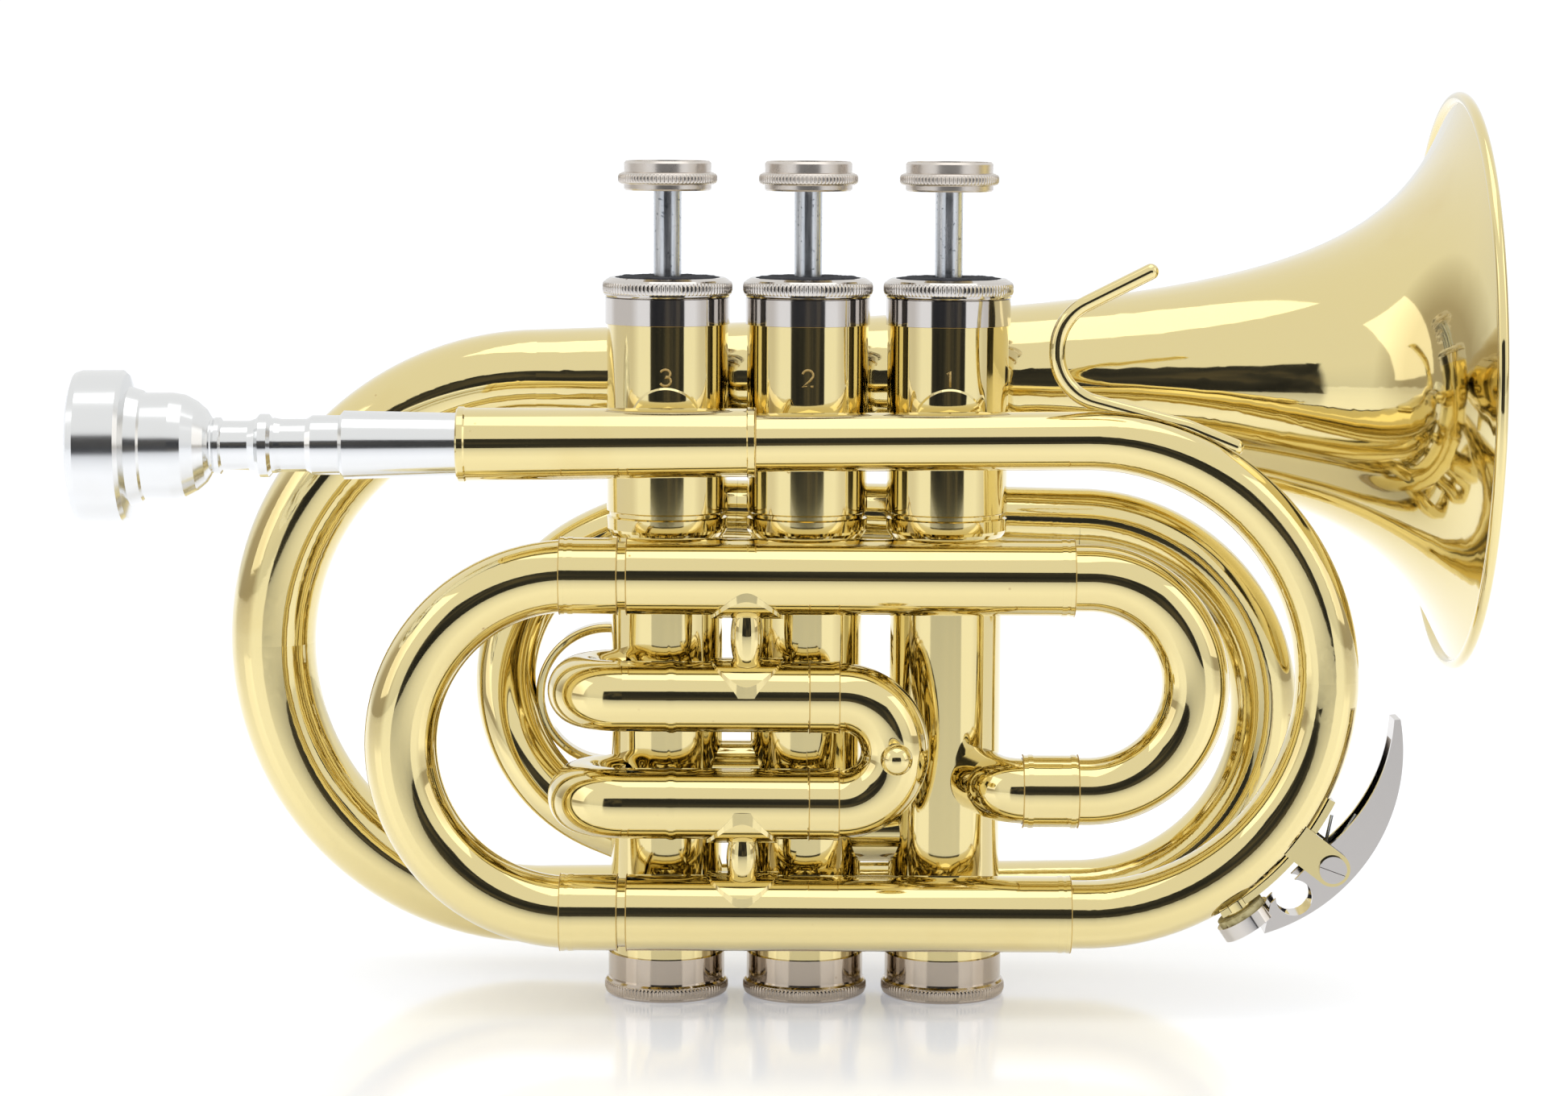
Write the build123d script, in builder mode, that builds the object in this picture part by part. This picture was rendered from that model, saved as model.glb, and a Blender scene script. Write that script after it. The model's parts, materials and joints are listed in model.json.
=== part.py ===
"""Wrapped pocket cornet: three piston valves, leadpipe and slides in front, bell and coil behind.

Millimetres. +X points to the bell mouth, +Z up, the player's left hand side faces -Y.
The origin is the axis of the middle valve on the plane that the three bottom caps stand on.
"""
from build123d import *
import os
from math import cos, radians, sin

os.makedirs("parts", exist_ok=True)

# ---------------------------------------------------------------- driving dimensions
VALVE_SPACING = 25.0
VALVES = {"3": -VALVE_SPACING, "2": 0.0, "1": VALVE_SPACING}   # stamped number: X of the axis
STROKE = 15.0
WALL = 0.5                 # tube wall
FIT = 0.05                 # radial clearance of everything that slides in a tube or a casing
FRONT_Y = -19.0            # plane of leadpipe, main tubes and front slide
BELL_Y = 24.0              # plane of the bell and its coil
LONG_SLIDE_Y = 38.0        # plane of the long slide behind the coil

# valve casing, heights above the standing plane
CAP_FLOOR = 2.4
SPIGOT_Z = 2.6
LOWER_Z = 7.6
BEAD_Z = (84.0, 86.5)
SHOULDER_Z = 87.0
SLEEVE_Z = (121.0, 125.6)
LOWER_R = 10.0
UPPER_R = 10.8
PISTON_BORE_R = 8.6
BARREL_BORE_R = 9.2
CAP_PLATE_Z = 127.0
CAP_RIM_Z = 129.2
FELT_Z = 129.7
STEM_R = 2.45
BUTTON_Z = 144.6

# tubes on the front plane
LEAD_Z = 102.0
BOTTOM_Z = 18.2
MAIN_Z = 77.9
LEAD_TILT = 0.6            # degrees, the leadpipe falls towards the mouthpiece
LEAD_BEND_X = 49.2
LEAD_BEND_R = (LEAD_Z - BOTTOM_Z) / 2
MAIN_R = 6.7
MAIN_LEFT_X = -31.6
MAIN_RIGHT_X = 46.7
CROOK_X = -41.3
CROOK_R = (MAIN_Z - BOTTOM_Z) / 2
CROOK_TUBE_R = 6.35
D_BEND_X = 49.3
D_BEND_LOW_Z = 40.2
D_BEND_R = (MAIN_Z - D_BEND_LOW_Z) / 2
D_TUBE_R = 5.9

# slide on the left-hand casing
FRONT_SLIDE_Z = (56.7, 37.7)
FRONT_SLIDE_R = 6.2
FRONT_KNUCKLE_X = -32.1
FRONT_KNUCKLE_BEND = 7.5
FRONT_GAP_X = 0.3
FRONT_CROOK_X = 6.1

KNUCKLE_Z = (40.0, 29.9)        # between the left and middle, middle and right casings
SHORT_SLIDE_Z = (55.8, 40.6)    # behind the middle casing
LONG_SLIDE_Z = (70.0, 26.4)     # behind the coil, from the right-hand casing

# bell: radius = BELL_K / (distance from the rim + BELL_X0) ** BELL_POWER
BELL_Z = 109.5
RIM_X = 119.3
RIM_R = 52.4
BELL_X0 = 12.0
BELL_POWER = 0.655
BELL_K = RIM_R * BELL_X0 ** BELL_POWER
BELL_END_X = -49.4
BEND_R = 49.3
COIL_LOW_Z = 13.3
COIL_X = 50.3
COIL_TOP_Z = 83.3
LOOP_TILT = 19.0           # degrees, the small loop leans forward towards its foot
LOOP_R = 28.7
LOOP_TUBE_R = 5.5


def finish(builder, name):
    """Label a finished sub-part and write its STEP file."""
    builder.part.label = name
    export_step(builder.part, f"parts/{name}.step")


def front_plane(y):
    """Plane parallel to XZ at depth y: local x is +X, local y is +Z."""
    return Plane.XZ.offset(-y)


def section(path, at, radius):
    """Round sketch square to a path."""
    with BuildSketch(Plane(origin=path @ at, z_dir=path % at)) as ring:
        Circle(radius)
    return ring.sketch


def pipe(path, r_start, r_end=None, wall=WALL, mode=Mode.ADD):
    """Tube along a path, plain or tapered."""
    r_end = r_start if r_end is None else r_end
    several = r_end != r_start
    outer = [section(path, 0, r_start)]
    inner = [section(path, 0, r_start - wall)]
    if several:
        outer.append(section(path, 1, r_end))
        inner.append(section(path, 1, r_end - wall))
    with BuildPart(mode=Mode.PRIVATE) as tube:
        sweep(outer, path=path, multisection=several)
        sweep(inner, path=path, multisection=several, mode=Mode.SUBTRACT)
    add(tube.part, mode=mode)


def rod_x(x0, x1, y, z, radius, mode=Mode.ADD):
    """Solid bar along X."""
    with Locations(Location(((x0 + x1) / 2, y, z), (0, 90, 0))):
        Cylinder(radius, abs(x1 - x0), mode=mode)


def rod_y(x, y0, y1, z, radius, mode=Mode.ADD):
    """Solid bar along Y."""
    with Locations(Location((x, (y0 + y1) / 2, z), (90, 0, 0))):
        Cylinder(radius, abs(y1 - y0), mode=mode)


def rod_z(x, y, z0, z1, radius, mode=Mode.ADD):
    """Solid bar along Z."""
    with Locations((x, y, (z0 + z1) / 2)):
        Cylinder(radius, abs(z1 - z0), mode=mode)


def sleeve_x(x0, x1, y, z, r_out, r_in):
    """Plain ring along X."""
    with BuildSketch(Plane.YZ.offset(x0)) as ring:
        with Locations((y, z)):
            Circle(r_out)
            Circle(r_in, mode=Mode.SUBTRACT)
    extrude(ring.sketch, amount=x1 - x0)


def beaded_sleeve_x(x0, x1, y, z, r_out, r_in, beads, bead=0.22):
    """Ring along X with narrow raised beads at the given places."""
    sleeve_x(x0, x1, y, z, r_out, r_in)
    for place in beads:
        sleeve_x(place - 0.45, place + 0.45, y, z, r_out + bead, r_in)


def cut_casings(radius=LOWER_R):
    """Take the three valve casings out of a tube that is soldered to them."""
    for x in VALVES.values():
        rod_z(x, 0, 0, 130, radius, mode=Mode.SUBTRACT)


def revolved(x, points):
    """Turned part about the vertical axis at x, from (radius, height) corners."""
    with BuildSketch(Plane.XZ.move(Location((x, 0, 0)))) as profile:
        with BuildLine():
            Polyline(*points, close=True)
        make_face()
    revolve(profile.sketch, axis=Axis((x, 0, 0), (0, 0, 1)))


# ---------------------------------------------------------------- valves
PORTS = {
    "3": [("x", -1, -4.0, FRONT_SLIDE_Z[0]), ("x", -1, -4.0, FRONT_SLIDE_Z[1]),
          ("x", -1, 4.0, 27.0), ("x", 1, 0.0, KNUCKLE_Z[0])],
    "2": [("x", -1, 0.0, KNUCKLE_Z[0]), ("x", 1, 0.0, KNUCKLE_Z[1]),
          ("y", 1, 0.0, SHORT_SLIDE_Z[0]), ("y", 1, 0.0, SHORT_SLIDE_Z[1])],
    "1": [("x", -1, 0.0, KNUCKLE_Z[1]), ("y", -1, 6.0, D_BEND_LOW_Z),
          ("y", 1, 0.0, LONG_SLIDE_Z[0]), ("y", 1, 0.0, LONG_SLIDE_Z[1])],
}
PORT_R = 5.3
GUIDE_Z = (87.05, 89.5)
BARREL_R = 8.0
BARREL_TOP = 126.0
PISTON_R = PISTON_BORE_R - FIT
PISTON_Z = (20.0, 85.0)
PISTON_WALL = 0.8
PASSAGE_R = PORT_R - 0.5
GUIDE_W = 3.0
SPRING_R = 6.2
SPRING_WIRE_R = 0.42
SPRING_TURNS = 11


def cut_ports(number, x):
    """Holes where the tubes open into a casing."""
    for direction, side, offset, z in PORTS[number]:
        if direction == "x":
            rod_x(x, x + side * 14, offset, z, PORT_R, mode=Mode.SUBTRACT)
        else:
            rod_y(x + offset, 0, side * 14, z, PORT_R, mode=Mode.SUBTRACT)


def port_bores(number, x, radius):
    """Round passages from a piston's middle out to its first three ports."""
    for direction, side, offset, z in PORTS[number][:3]:
        if direction == "x":
            rod_x(x - side, x + side * 10, offset, z, radius, mode=Mode.SUBTRACT)
        else:
            rod_y(x + offset, -side, side * 10, z, radius, mode=Mode.SUBTRACT)


def piston_chamber(number, x):
    """Hollow of a piston, less the walls of its passages."""
    with BuildPart(mode=Mode.PRIVATE) as chamber:
        rod_z(x, 0, PISTON_Z[0] + 4.5, PISTON_Z[1] - 1.0, PISTON_R - PISTON_WALL)
        port_bores(number, x, PASSAGE_R + PISTON_WALL)
    return chamber.part


for number, x in VALVES.items():
    with BuildPart() as casing:
        revolved(x, [(PISTON_BORE_R, SPIGOT_Z), (9.4, SPIGOT_Z), (9.4, LOWER_Z), (LOWER_R, LOWER_Z),
                     (LOWER_R, BEAD_Z[0] - 0.8), (UPPER_R - 0.2, BEAD_Z[0]), (UPPER_R, BEAD_Z[0] + 0.5),
                     (UPPER_R, BEAD_Z[1]), (UPPER_R - 0.45, BEAD_Z[1] + 0.3),
                     (UPPER_R - 0.45, BEAD_Z[1] + 0.9), (UPPER_R, BEAD_Z[1] + 1.2),
                     (UPPER_R, SLEEVE_Z[0]), (UPPER_R - 0.5, SLEEVE_Z[0]), (UPPER_R - 0.5, SLEEVE_Z[1]),
                     (BARREL_BORE_R, SLEEVE_Z[1]), (BARREL_BORE_R, SHOULDER_Z),
                     (PISTON_BORE_R, SHOULDER_Z)])
        cut_ports(number, x)
    finish(casing, f"casing_{number}")

    with BuildPart() as bottom_cap:
        revolved(x, [(0, 0), (10.6, 0), (10.95, 0.35), (10.95, 2.5), (10.6, 2.85), (10.5, 3.2),
                     (10.5, LOWER_Z), (9.45, LOWER_Z), (9.45, CAP_FLOOR), (0, CAP_FLOOR)])
        for turn in range(3):
            vent_x = x + 5.2 * cos(radians(120 * turn + 90))
            vent_y = 5.2 * sin(radians(120 * turn + 90))
            rod_z(vent_x, vent_y, -1, CAP_FLOOR + 1, 1.1, mode=Mode.SUBTRACT)
    finish(bottom_cap, f"bottom_cap_{number}")

    with BuildPart() as top_cap:
        revolved(x, [(2.9, CAP_PLATE_Z), (8.4, CAP_PLATE_Z), (8.4, 118.5), (9.15, 118.5),
                     (9.15, SLEEVE_Z[1] + 0.05), (10.9, SLEEVE_Z[1] + 0.05), (11.35, 126.1),
                     (11.35, 128.3), (10.9, 128.8), (10.2, CAP_RIM_Z), (9.35, CAP_RIM_Z),
                     (9.35, 128.4), (2.9, 128.4)])
    finish(top_cap, f"top_cap_{number}")

    with BuildPart() as piston:
        revolved(x, [(0, PISTON_Z[0] + 3), (6.5, PISTON_Z[0] + 1), (7.2, PISTON_Z[0]),
                     (PISTON_R, PISTON_Z[0]), (PISTON_R, PISTON_Z[1]), (BARREL_R, PISTON_Z[1]),
                     (BARREL_R, BARREL_TOP), (1.5, BARREL_TOP), (1.5, BARREL_TOP - 2.4),
                     (BARREL_R - 0.8, BARREL_TOP - 2.4), (BARREL_R - 0.8, PISTON_Z[1] + 1.0),
                     (0, PISTON_Z[1] + 1.0)])
        add(piston_chamber(number, x), mode=Mode.SUBTRACT)
        rod_z(x, 0, 0, PISTON_Z[0] + 6, 1.5, mode=Mode.SUBTRACT)
        with Locations((x, 0, (GUIDE_Z[0] - 0.4 + GUIDE_Z[1] + STROKE + 1.2) / 2)):
            Box(GUIDE_W + 0.4, 20, GUIDE_Z[1] + STROKE + 1.6 - GUIDE_Z[0], mode=Mode.SUBTRACT)
        port_bores(number, x, PASSAGE_R)
    finish(piston, f"piston_{number}")

    with BuildPart() as spring:
        spring_z = (GUIDE_Z[1] + 0.5, BARREL_TOP - 2.9)
        height = spring_z[1] - spring_z[0]
        winding = Helix(height / SPRING_TURNS, height, SPRING_R,
                        center=(x, 0, spring_z[0]), mode=Mode.PRIVATE)
        sweep(section(winding, 0, SPRING_WIRE_R), path=winding, is_frenet=True)
    finish(spring, f"valve_spring_{number}")

    with BuildPart() as stem:
        revolved(x, [(0, BARREL_TOP - 3.2), (1.45, BARREL_TOP - 3.2), (1.45, BARREL_TOP),
                     (STEM_R, BARREL_TOP), (STEM_R, BUTTON_Z), (1.5, BUTTON_Z), (1.5, BUTTON_Z + 2.4),
                     (0, BUTTON_Z + 2.4)])
    finish(stem, f"stem_{number}")

    with BuildPart() as button:
        revolved(x, [(1.5, BUTTON_Z), (7.5, BUTTON_Z), (7.75, BUTTON_Z + 0.3), (7.75, BUTTON_Z + 1.0),
                     (8.2, BUTTON_Z + 1.1), (8.6, BUTTON_Z + 1.6), (8.6, BUTTON_Z + 2.6),
                     (8.2, BUTTON_Z + 3.1), (7.7, BUTTON_Z + 3.25), (7.75, BUTTON_Z + 4.8),
                     (7.4, BUTTON_Z + 5.2), (6.9, BUTTON_Z + 5.2), (6.9, BUTTON_Z + 4.2),
                     (0, BUTTON_Z + 4.2), (0, BUTTON_Z + 2.4), (1.5, BUTTON_Z + 2.4)])
    finish(button, f"finger_button_{number}")

    with BuildPart() as pearl:
        revolved(x, [(0, BUTTON_Z + 4.2), (6.85, BUTTON_Z + 4.2), (6.85, BUTTON_Z + 4.7),
                     (6.4, BUTTON_Z + 5.0), (0, BUTTON_Z + 4.9)])
    finish(pearl, f"button_pearl_{number}")

with BuildPart() as sleeves:
    for x in VALVES.values():
        revolved(x, [(UPPER_R - 0.45, SLEEVE_Z[0]), (11.1, SLEEVE_Z[0]), (11.1, SLEEVE_Z[1]),
                     (UPPER_R - 0.45, SLEEVE_Z[1])])
finish(sleeves, "casing_sleeves")

with BuildPart() as felts:
    for x in VALVES.values():
        revolved(x, [(2.9, 128.4), (9.3, 128.4), (9.3, FELT_Z - 0.3), (9.0, FELT_Z), (2.9, FELT_Z)])
finish(felts, "cap_felts")

with BuildPart() as guides:
    for x in VALVES.values():
        rod_z(x, 0, GUIDE_Z[0], GUIDE_Z[1], BARREL_R - 1.1)
        with Locations((x, 0, (GUIDE_Z[0] + GUIDE_Z[1]) / 2)):
            Box(GUIDE_W, 2 * BARREL_BORE_R - 0.3, GUIDE_Z[1] - GUIDE_Z[0])
finish(guides, "valve_guides")

with BuildPart() as knuckles:
    for x, z in zip((-VALVE_SPACING / 2, VALVE_SPACING / 2), KNUCKLE_Z):
        with BuildSketch(Plane.YZ.offset(x - 6)) as ring:
            with Locations((0, z)):
                Circle(D_TUBE_R)
                Circle(PORT_R, mode=Mode.SUBTRACT)
        extrude(ring.sketch, amount=12)
    cut_casings()
finish(knuckles, "casing_knuckles")

# ---------------------------------------------------------------- mouthpiece, receiver, leadpipe
TILT = radians(LEAD_TILT)
LEAD_DIR = Vector(-cos(TILT), 0, -sin(TILT))
BEND_CENTRE = Vector(LEAD_BEND_X, FRONT_Y, (LEAD_Z + BOTTOM_Z) / 2)
LEAD_START = BEND_CENTRE + Vector(-sin(TILT), 0, cos(TILT)) * LEAD_BEND_R


def lead_point(x):
    """Point of the leadpipe axis at a given X, left of the bend."""
    return LEAD_START + LEAD_DIR * ((x - LEAD_START.X) / LEAD_DIR.X)


RECEIVER_X = (-61.0, -9.0)
SHANK_END_X = -39.0
MOUTH_RIM_X = -127.5


def turned_on_lead(points):
    """Turned part about the leadpipe axis, from (X, radius) corners."""
    origin = lead_point(0)
    plane = Plane(origin=origin, x_dir=LEAD_DIR * -1, z_dir=(0, -1, 0))
    with BuildSketch(plane) as profile:
        with BuildLine():
            Polyline(*points, close=True)
        make_face()
    revolve(profile.sketch, axis=Axis(origin, LEAD_DIR))


with BuildPart() as mouthpiece:
    rim = MOUTH_RIM_X
    turned_on_lead([
        (rim, 11.6), (rim + 0.5, 12.9), (rim + 1.6, 13.25), (rim + 8.6, 13.25), (rim + 9.3, 12.6),
        (rim + 9.9, 10.4), (rim + 12.0, 9.7), (rim + 12.4, 9.3), (rim + 17.2, 9.3), (rim + 19.4, 8.9),
        (rim + 21.4, 7.8), (rim + 23.0, 6.4), (rim + 23.9, 4.9), (rim + 24.2, 4.75), (rim + 24.6, 4.95),
        (rim + 25.4, 4.95), (rim + 25.8, 4.35), (rim + 30.4, 4.3), (rim + 31.6, 4.7), (rim + 32.3, 5.5),
        (rim + 33.8, 5.5), (rim + 34.4, 4.8), (rim + 35.0, 4.8), (rim + 36.0, 4.6), (rim + 40.4, 4.6),
        (rim + 41.4, 5.2), (rim + 46.2, 5.2), (rim + 46.9, 6.0), (RECEIVER_X[0] - 0.1, 5.5),
        (SHANK_END_X, 4.95), (SHANK_END_X, 4.2), (rim + 26.0, 1.85), (rim + 22.5, 1.85),
        (rim + 19.5, 3.2), (rim + 14.0, 6.2), (rim + 8.0, 7.9), (rim + 2.0, 8.2), (rim + 0.5, 8.9),
        (rim, 10.0)])
finish(mouthpiece, "mouthpiece")

with BuildPart() as receiver:
    left, right = RECEIVER_X
    turned_on_lead([
        (left, 6.3), (left + 0.3, 6.6), (left + 1.3, 6.6), (left + 1.6, 6.4), (right - 1.6, 5.95),
        (right - 1.4, 6.2), (right - 0.3, 6.2), (right, 5.9), (right, 5.15), (SHANK_END_X + 12, 5.15),
        (SHANK_END_X + 12, 4.7), (SHANK_END_X + 4, 4.7), (SHANK_END_X + 4, 5.03), (left, 5.6)])
finish(receiver, "mouthpiece_receiver")

with BuildPart() as leadpipe:
    straight = Line(lead_point(SHANK_END_X + 12), LEAD_START, mode=Mode.PRIVATE)
    with BuildLine(front_plane(FRONT_Y)) as top_half:
        CenterArc((LEAD_BEND_X, (LEAD_Z + BOTTOM_Z) / 2), LEAD_BEND_R, 90 + LEAD_TILT, -90 - LEAD_TILT)
    with BuildLine(front_plane(FRONT_Y)) as low_half:
        CenterArc((LEAD_BEND_X, (LEAD_Z + BOTTOM_Z) / 2), LEAD_BEND_R, 0, -90)
    pipe(straight, 5.1, wall=0.45)
    pipe(top_half.line, 5.1, 5.6, wall=0.45)
    pipe(low_half.line, 5.6, 6.0, wall=0.45)
    sleeve_x(MAIN_RIGHT_X, LEAD_BEND_X, FRONT_Y, BOTTOM_Z, 6.0, 5.55)
finish(leadpipe, "leadpipe")

# ---------------------------------------------------------------- main tubes and tuning slide
with BuildPart() as main_tubes:
    for z in (BOTTOM_Z, MAIN_Z):
        beaded_sleeve_x(MAIN_LEFT_X, MAIN_RIGHT_X, FRONT_Y, z, MAIN_R, MAIN_R - 0.6,
                        (MAIN_RIGHT_X - 1.9, MAIN_RIGHT_X - 0.45), 0.12)
finish(main_tubes, "main_tubes")

INNER_R = MAIN_R - 0.6 - FIT
with BuildPart() as tuning_slide:
    with BuildLine(front_plane(FRONT_Y)) as crook:
        CenterArc((CROOK_X, (MAIN_Z + BOTTOM_Z) / 2), CROOK_R, 90, 180)
    pipe(crook.line, CROOK_TUBE_R)
    for z in (BOTTOM_Z, MAIN_Z):
        sleeve_x(CROOK_X, CROOK_X + 4, FRONT_Y, z, CROOK_TUBE_R, CROOK_TUBE_R - WALL)
        sleeve_x(CROOK_X + 3.5, 4.0, FRONT_Y, z, INNER_R, INNER_R - WALL)
finish(tuning_slide, "tuning_slide")

with BuildPart() as tuning_ferrules:
    for z in (BOTTOM_Z, MAIN_Z):
        beaded_sleeve_x(CROOK_X - 2.0, -33.0, FRONT_Y, z, MAIN_R, CROOK_TUBE_R + 0.02,
                        (CROOK_X - 1.5, CROOK_X), 0.12)
    with BuildLine(front_plane(FRONT_Y)) as crook:
        CenterArc((CROOK_X, (MAIN_Z + BOTTOM_Z) / 2), CROOK_R, 90, 180)
    sweep(section(crook.line, 0, CROOK_TUBE_R), path=crook.line, mode=Mode.SUBTRACT)
finish(tuning_ferrules, "tuning_slide_ferrules")

# ---------------------------------------------------------------- D-bend into the right-hand casing
with BuildPart() as d_bend:
    with BuildLine(front_plane(FRONT_Y)) as bow:
        CenterArc((D_BEND_X, (MAIN_Z + D_BEND_LOW_Z) / 2), D_BEND_R, 90, -180)
    pipe(bow.line, D_TUBE_R)
    sleeve_x(MAIN_RIGHT_X, D_BEND_X, FRONT_Y, MAIN_Z, D_TUBE_R, D_TUBE_R - WALL)
    sleeve_x(44.0, D_BEND_X, FRONT_Y, D_BEND_LOW_Z, D_TUBE_R, D_TUBE_R - WALL)
finish(d_bend, "d_bend")

ELBOW_X = 39.4
ELBOW_R = 6.1
ELBOW_TURN = 70.0
ELBOW_TUBE_R = 5.7
with BuildPart() as elbow:
    with BuildLine(Plane.XY.offset(D_BEND_LOW_Z)) as turn_in:
        run = Line((44.0, FRONT_Y), (ELBOW_X, FRONT_Y))
        arc = JernArc(run @ 1, run % 1, ELBOW_R, -ELBOW_TURN)
        Line(arc @ 1, arc @ 1 + (arc % 1) * 14)
    pipe(turn_in.line, ELBOW_TUBE_R)
    cut_casings()
finish(elbow, "elbow")

with BuildPart() as d_ferrule:
    beaded_sleeve_x(37.9, 47.8, FRONT_Y, D_BEND_LOW_Z, 6.3, D_TUBE_R, (39.3, 46.8), 0.15)
    sweep(section(turn_in.line, 0, ELBOW_TUBE_R + 0.02), path=turn_in.line, mode=Mode.SUBTRACT)
finish(d_ferrule, "d_bend_ferrule")

# ---------------------------------------------------------------- slide on the left-hand casing
with BuildPart() as front_tubes:
    for z in FRONT_SLIDE_Z:
        with BuildLine(Plane.XY.offset(z)) as knuckle:
            run = Line((FRONT_GAP_X, FRONT_Y), (FRONT_KNUCKLE_X, FRONT_Y))
            JernArc(run @ 1, run % 1, FRONT_KNUCKLE_BEND, -180)
        pipe(knuckle.line, FRONT_SLIDE_R, wall=0.5)
        beaded_sleeve_x(-24.4, -22.8, FRONT_Y, z, FRONT_SLIDE_R + 0.1, FRONT_SLIDE_R, (-23.6,), 0.12)
    cut_casings()
finish(front_tubes, "front_slide_tubes")

FRONT_INNER_R = FRONT_SLIDE_R - 0.5 - FIT
FRONT_CROOK_R = (FRONT_SLIDE_Z[0] - FRONT_SLIDE_Z[1]) / 2
with BuildPart() as front_crook:
    with BuildLine(front_plane(FRONT_Y)) as bow:
        CenterArc((FRONT_CROOK_X, sum(FRONT_SLIDE_Z) / 2), FRONT_CROOK_R, 90, -180)
    pipe(bow.line, 6.0)
    for z in FRONT_SLIDE_Z:
        sleeve_x(5.0, FRONT_CROOK_X, FRONT_Y, z, 6.0, 5.5)
        sleeve_x(-21.0, 5.2, FRONT_Y, z, FRONT_INNER_R, FRONT_INNER_R - WALL)
finish(front_crook, "front_slide_crook")

with BuildPart() as front_ferrules:
    for z in FRONT_SLIDE_Z:
        beaded_sleeve_x(FRONT_GAP_X + 0.15, 5.9, FRONT_Y, z, 6.25, 6.02, (5.3,), 0.1)
        sleeve_x(FRONT_GAP_X + 0.15, 4.9, FRONT_Y, z, 6.25, FRONT_INNER_R + 0.01)
finish(front_ferrules, "front_slide_ferrules")

KNOB_Z = sum(FRONT_SLIDE_Z) / 2
with BuildPart() as knob:
    knob_x = FRONT_CROOK_X + FRONT_CROOK_R
    with BuildSketch(Plane(origin=(knob_x, FRONT_Y, KNOB_Z), x_dir=(1, 0, 0), z_dir=(0, 0, 1))) as profile:
        with BuildLine():
            Polyline((0, -5.0), (2.3, -5.0), (2.3, -6.6), (1.6, -6.9), (1.6, -7.4), (0, -7.4), close=True)
        make_face()
    revolve(profile.sketch, axis=Axis((knob_x, FRONT_Y, KNOB_Z), (0, 1, 0)))
    with Locations((knob_x, FRONT_Y - 9.3, KNOB_Z)):
        Sphere(2.8)
    with BuildLine(front_plane(FRONT_Y)) as bow:
        CenterArc((FRONT_CROOK_X, KNOB_Z), FRONT_CROOK_R, 40, -80)
    sweep(section(bow.line, 0, 6.0), path=bow.line, mode=Mode.SUBTRACT)
finish(knob, "front_slide_knob")


# ---------------------------------------------------------------- posts and braces
def saddle(x, y, z, tube_r, side, radius=6.35):
    """Round flange bent over a tube that runs along X, on its upper (+1) or lower (-1) side."""
    with BuildPart(mode=Mode.PRIVATE) as flange:
        rod_x(x - 8, x + 8, y, z, tube_r + 0.65)
        rod_x(x - 9, x + 9, y, z, tube_r + 0.01, mode=Mode.SUBTRACT)
        rod_z(x, y, z + side * 0.6, z + side * 12, radius, mode=Mode.INTERSECT)
    add(flange.part)


def casing_flange(x, z, radius=6.3, thick=1.0):
    """Round flange with a softened rim, bent over the front of a casing."""
    with BuildPart() as flange:
        rod_z(x, 0, z - 14, z + 14, UPPER_R + thick)
        rod_y(x, -2, FRONT_Y, z, radius, mode=Mode.INTERSECT)
        rod_z(x, 0, z - 15, z + 15, UPPER_R + 0.01, mode=Mode.SUBTRACT)
        rim = flange.faces().filter_by(GeomType.CYLINDER).sort_by(lambda face: face.radius)[-1]
        chamfer(rim.edges(), 0.35)
    return flange.part


def baluster(x, y, z0, z1):
    """Barrel-shaped post between two heights."""
    mid = (z0 + z1) / 2
    half = (z1 - z0) / 2
    with BuildSketch(Plane(origin=(x, y, 0), x_dir=(1, 0, 0), z_dir=(0, -1, 0))) as profile:
        with BuildLine():
            Polyline((2.2, z1), (0, z1), (0, z0), (2.2, z0))
            Line((2.2, z0), (2.2, mid - half * 0.8))
            Spline((2.2, mid - half * 0.8), (2.85, mid), (2.2, mid + half * 0.8))
            Line((2.2, mid + half * 0.8), (2.2, z1))
        make_face()
    revolve(profile.sketch, axis=Axis((x, y, 0), (0, 0, 1)))


with BuildPart() as posts:
    baluster(-10.5, FRONT_Y, FRONT_SLIDE_Z[0] + 5, MAIN_Z - 5)
    saddle(-10.5, FRONT_Y, MAIN_Z, MAIN_R, -1)
    saddle(-10.5, FRONT_Y, FRONT_SLIDE_Z[0], FRONT_SLIDE_R, 1)
    baluster(-11.1, FRONT_Y, BOTTOM_Z + 5, FRONT_SLIDE_Z[1] - 5)
    saddle(-11.1, FRONT_Y, BOTTOM_Z, MAIN_R, 1)
    saddle(-11.1, FRONT_Y, FRONT_SLIDE_Z[1], FRONT_SLIDE_R, -1)
    for z, tube_r in ((MAIN_Z, MAIN_R), (BOTTOM_Z, MAIN_R), (FRONT_SLIDE_Z[0], FRONT_SLIDE_R),
                      (FRONT_SLIDE_Z[1], FRONT_SLIDE_R)):
        rod_x(-20, 0, FRONT_Y, z, tube_r + 0.01, mode=Mode.SUBTRACT)
finish(posts, "slide_posts")

# ---------------------------------------------------------------- bell and its coil
def bell_radius(distance):
    """Bell radius at a distance from the rim."""
    return BELL_K / (distance + BELL_X0) ** BELL_POWER


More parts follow.
